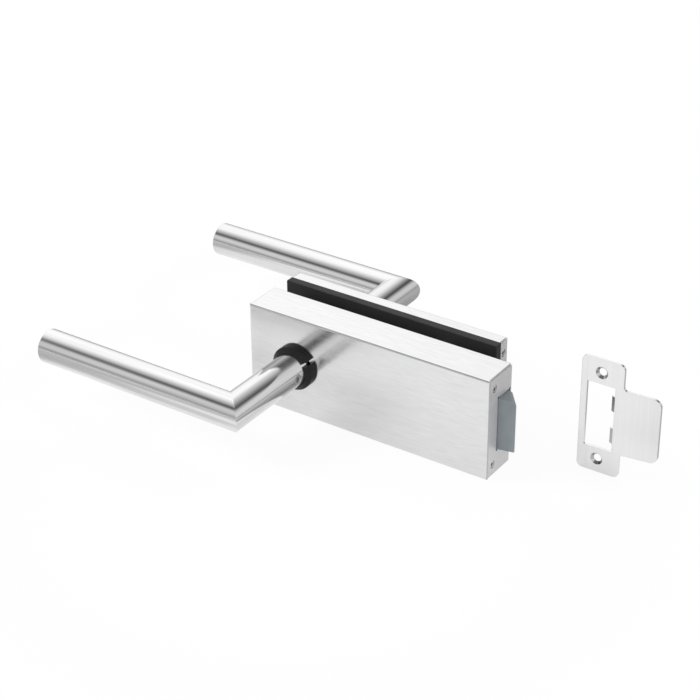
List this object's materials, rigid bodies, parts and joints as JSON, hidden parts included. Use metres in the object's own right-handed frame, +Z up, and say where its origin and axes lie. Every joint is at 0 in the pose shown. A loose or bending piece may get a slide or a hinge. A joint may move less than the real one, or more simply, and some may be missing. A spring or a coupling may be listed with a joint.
{
  "type": "glass door lock",
  "caption": "Glass door latch lock with a stainless case, a rear clamp plate, mitred tube levers on both sides and a separate strike plate.",
  "frame": {"origin": "on the spindle axis, in the middle of the glass", "axes": "+X along the lock towards the latch, +Y from the front case through the glass to the rear plate, +Z up"},
  "size_m": [0.3344, 0.1827, 0.0696],
  "materials": {
    "brushed_stainless": "horizontal brushed grain",
    "satin_stainless": "satin tube",
    "latch_steel": "grey-blue satin",
    "black_plastic": "matt black",
    "black_plate": "matt black coating",
    "black_rubber": "matt",
    "zinc_casting": "as cast zinc alloy",
    "plated_steel": "zinc plated",
    "dark_steel": "black oxide",
    "spring_steel": "drawn wire",
    "white_plastic": "matt"
  },
  "bodies": {
    "lock": {"front_cover": "brushed_stainless", "lock_body": "zinc_casting", "mechanism_plate": "plated_steel", "mechanism_screws": "plated_steel", "front_gasket": "black_rubber", "front_cover_grub_screws": "dark_steel", "front_neck_bush": "black_plastic", "rear_neck_bush": "black_plastic", "rear_gasket": "black_rubber", "rear_clamp_plate": "black_plate", "rear_cover": "brushed_stainless", "rear_cover_grub_screws": "dark_steel", "clamp_screws": "plated_steel", "glass_sleeves": "white_plastic", "strike_plate": "brushed_stainless", "latch_spring": "spring_steel", "return_spring": "spring_steel"},
    "handle": {"spindle": "plated_steel", "follower": "plated_steel", "front_lever": "satin_stainless", "rear_lever": "satin_stainless", "front_lever_socket": "plated_steel", "rear_lever_socket": "plated_steel", "lever_grub_screws": "dark_steel"},
    "retractor": {"retractor_bar": "plated_steel"},
    "latch": {"latch_bolt": "latch_steel", "latch_tail_nut": "plated_steel"}
  },
  "joints": [
    {"name": "handle_turn", "type": "hinge", "parent": "lock", "child": "handle", "pos_m": [0, 0, 0], "axis": [0, -1, 0], "range_deg": [0, 40], "stiffness_Nm_per_rad": 1, "springref_deg": -40.11},
    {"name": "retractor_slide", "type": "slide", "parent": "lock", "child": "retractor", "axis": [-1, 0, 0], "range_m": [0, 0.0102], "deforming": ["return_spring"]},
    {"name": "latch_push", "type": "slide", "parent": "retractor", "child": "latch", "axis": [-1, 0, 0], "range_m": [0, 0.0102], "stiffness_N_per_m": 200, "springref_m": -0.02, "deforming": ["latch_spring"]}
  ],
  "couplings": [
    {"joint": "retractor_slide", "follows": "handle_turn", "m_per_rad": 0.0146}
  ]
}
